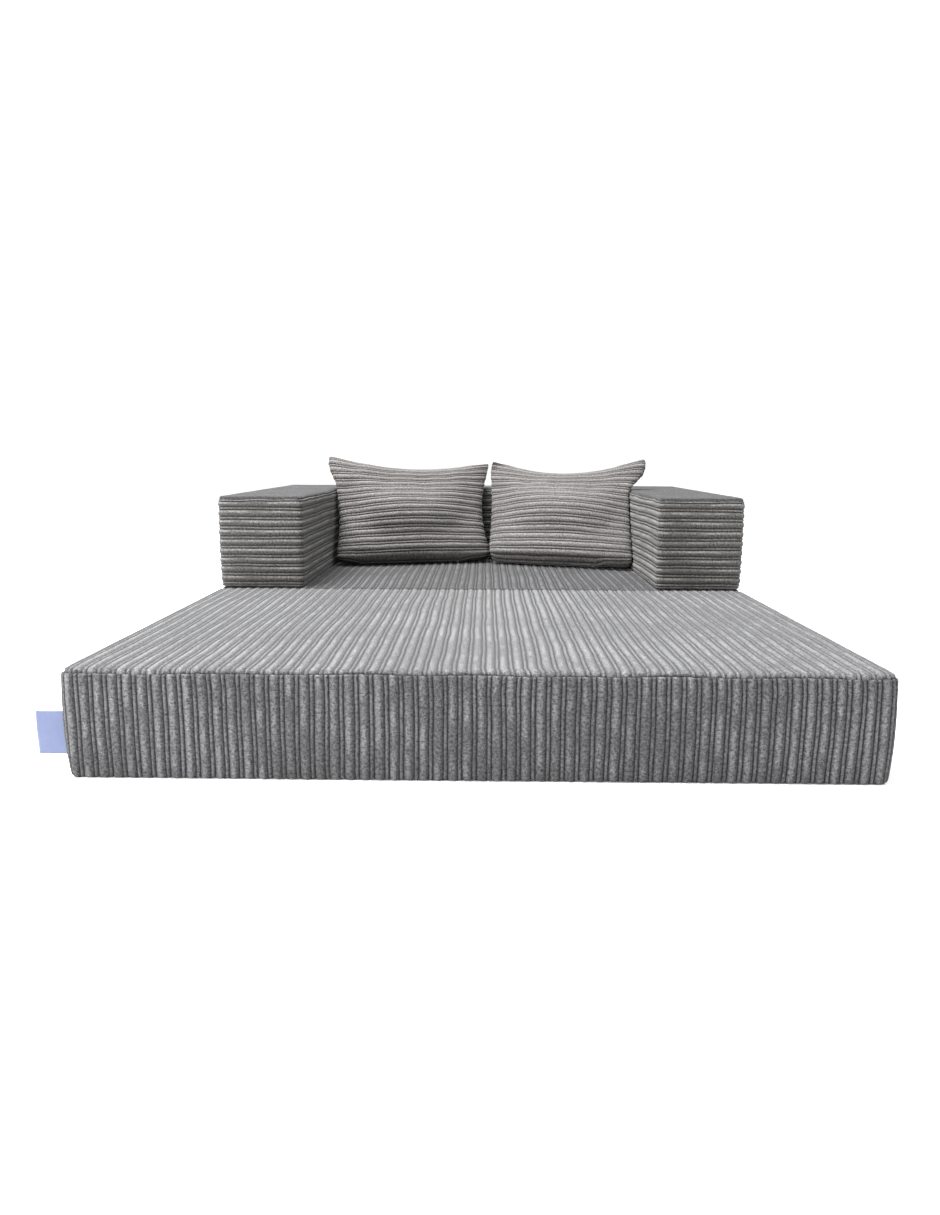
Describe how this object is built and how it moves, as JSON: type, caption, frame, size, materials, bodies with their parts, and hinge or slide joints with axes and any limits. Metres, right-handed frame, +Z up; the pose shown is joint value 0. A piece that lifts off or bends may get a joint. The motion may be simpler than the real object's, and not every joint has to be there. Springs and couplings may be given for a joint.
{
  "type": "sofa bed",
  "caption": "Low foam sofa bed in wide-wale corduroy, opened out as a bed: a seat block with arms and back rest, a front mattress that folds under it, and loose pillows.",
  "frame": {"origin": "on the floor, at the middle of the seat unit's flat underside", "axes": "+X to the right seen from the front, +Y to the back rest, +Z up; the front mattress lies towards -Y"},
  "size_m": [1.5604, 2.0064, 0.5729],
  "materials": {
    "corduroy": "wide and narrow corduroy ribs, soft nap",
    "foam": "open-cell foam",
    "fibre_filling": "loose fibre",
    "base_cloth": "non-slip cloth",
    "zip_tape": "woven tape",
    "zip_coil": "nylon coil",
    "zip_metal": "dark nickel",
    "loop_strip": "loop pile",
    "hook_strip": "moulded hooks",
    "hinge_cloth": "strong plain cloth",
    "tag_ribbon": "pale satin ribbon, bare"
  },
  "bodies": {
    "seat_unit": {"seat_cover": "corduroy", "seat_core": "foam", "seat_base_cloth": "base_cloth", "seat_zip_tape": "zip_tape", "seat_zip_coil": "zip_coil", "left_arm_cover": "corduroy", "left_arm_core": "foam", "left_arm_base_cloth": "base_cloth", "left_arm_zip_tape": "zip_tape", "left_arm_zip_coil": "zip_coil", "right_arm_cover": "corduroy", "right_arm_core": "foam", "right_arm_base_cloth": "base_cloth", "right_arm_zip_tape": "zip_tape", "right_arm_zip_coil": "zip_coil", "back_cover": "corduroy", "back_core": "foam", "back_base_cloth": "base_cloth", "back_zip_tape": "zip_tape", "back_zip_coil": "zip_coil", "left_arm_loop_strip": "loop_strip", "left_arm_hook_strip": "hook_strip", "right_arm_loop_strip": "loop_strip", "right_arm_hook_strip": "hook_strip", "back_loop_strip": "loop_strip", "back_hook_strip": "hook_strip", "hinge_strip_seat_side": "hinge_cloth"},
    "front_mattress": {"mattress_cover": "corduroy", "mattress_core": "foam", "mattress_base_cloth": "base_cloth", "mattress_zip_tape": "zip_tape", "mattress_zip_coil": "zip_coil", "hinge_strip_mattress_side": "hinge_cloth", "side_tag": "tag_ribbon"},
    "left_pillow": {"left_pillow_cover": "corduroy", "left_pillow_filling": "fibre_filling", "left_pillow_zip_tape": "zip_tape", "left_pillow_zip_coil": "zip_coil"},
    "right_pillow": {"right_pillow_cover": "corduroy", "right_pillow_filling": "fibre_filling", "right_pillow_zip_tape": "zip_tape", "right_pillow_zip_coil": "zip_coil"},
    "seat_zip_slider": {"seat_zip_slider": "zip_metal"},
    "seat_zip_pull": {"seat_zip_pull": "zip_metal"},
    "mattress_zip_slider": {"mattress_zip_slider": "zip_metal"},
    "mattress_zip_pull": {"mattress_zip_pull": "zip_metal"},
    "left_arm_zip_slider": {"left_arm_zip_slider": "zip_metal"},
    "right_arm_zip_slider": {"right_arm_zip_slider": "zip_metal"},
    "back_zip_slider": {"back_zip_slider": "zip_metal"},
    "back_zip_pull": {"back_zip_pull": "zip_metal"},
    "left_pillow_zip_slider": {"left_pillow_zip_slider": "zip_metal"},
    "right_pillow_zip_slider": {"right_pillow_zip_slider": "zip_metal"}
  },
  "joints": [
    {"name": "mattress_fold", "type": "hinge", "parent": "seat_unit", "child": "front_mattress", "pos_m": [0, -0.5015, -0.0004], "axis": [1, 0, 0], "range_deg": [0, 180]},
    {"name": "left_pillow_lift", "type": "slide", "parent": "seat_unit", "child": "left_pillow", "axis": [0, 0, 1], "range_m": [0, 0.35]},
    {"name": "right_pillow_lift", "type": "slide", "parent": "seat_unit", "child": "right_pillow", "axis": [0, 0, 1], "range_m": [0, 0.35]},
    {"name": "seat_zip_slider_travel", "type": "slide", "parent": "seat_unit", "child": "seat_zip_slider", "axis": [1, 0, 0], "range_m": [0, 1.2465]},
    {"name": "seat_zip_pull_swing", "type": "hinge", "parent": "seat_zip_slider", "child": "seat_zip_pull", "pos_m": [-0.62325, 0.5015, 0.034], "axis": [0, 0, -1], "range_deg": [0, 180]},
    {"name": "mattress_zip_slider_travel", "type": "slide", "parent": "front_mattress", "child": "mattress_zip_slider", "axis": [0, -1, 0], "range_m": [0, 0.7465]},
    {"name": "mattress_zip_pull_swing", "type": "hinge", "parent": "mattress_zip_slider", "child": "mattress_zip_pull", "pos_m": [0.7515, -0.62975, 0.034], "axis": [0, 0, -1], "range_deg": [0, 180]},
    {"name": "left_arm_zip_slider_travel", "type": "slide", "parent": "seat_unit", "child": "left_arm_zip_slider", "axis": [0, 1, 0], "range_m": [0, 0.7465]},
    {"name": "right_arm_zip_slider_travel", "type": "slide", "parent": "seat_unit", "child": "right_arm_zip_slider", "axis": [0, -1, 0], "range_m": [0, 0.7465]},
    {"name": "back_zip_slider_travel", "type": "slide", "parent": "seat_unit", "child": "back_zip_slider", "axis": [1, 0, 0], "range_m": [0, 0.7535]},
    {"name": "back_zip_pull_swing", "type": "hinge", "parent": "back_zip_slider", "child": "back_zip_pull", "pos_m": [-0.37675, 0.5015, 0.241], "axis": [0, 0, -1], "range_deg": [0, 180]},
    {"name": "left_pillow_zip_slider_travel", "type": "slide", "parent": "left_pillow", "child": "left_pillow_zip_slider", "axis": [-0.9636, -0.2672, 0], "range_m": [0, 0.3325]},
    {"name": "right_pillow_zip_slider_travel", "type": "slide", "parent": "right_pillow", "child": "right_pillow_zip_slider", "axis": [-0.9367, 0.3502, 0], "range_m": [0, 0.3325]}
  ]
}
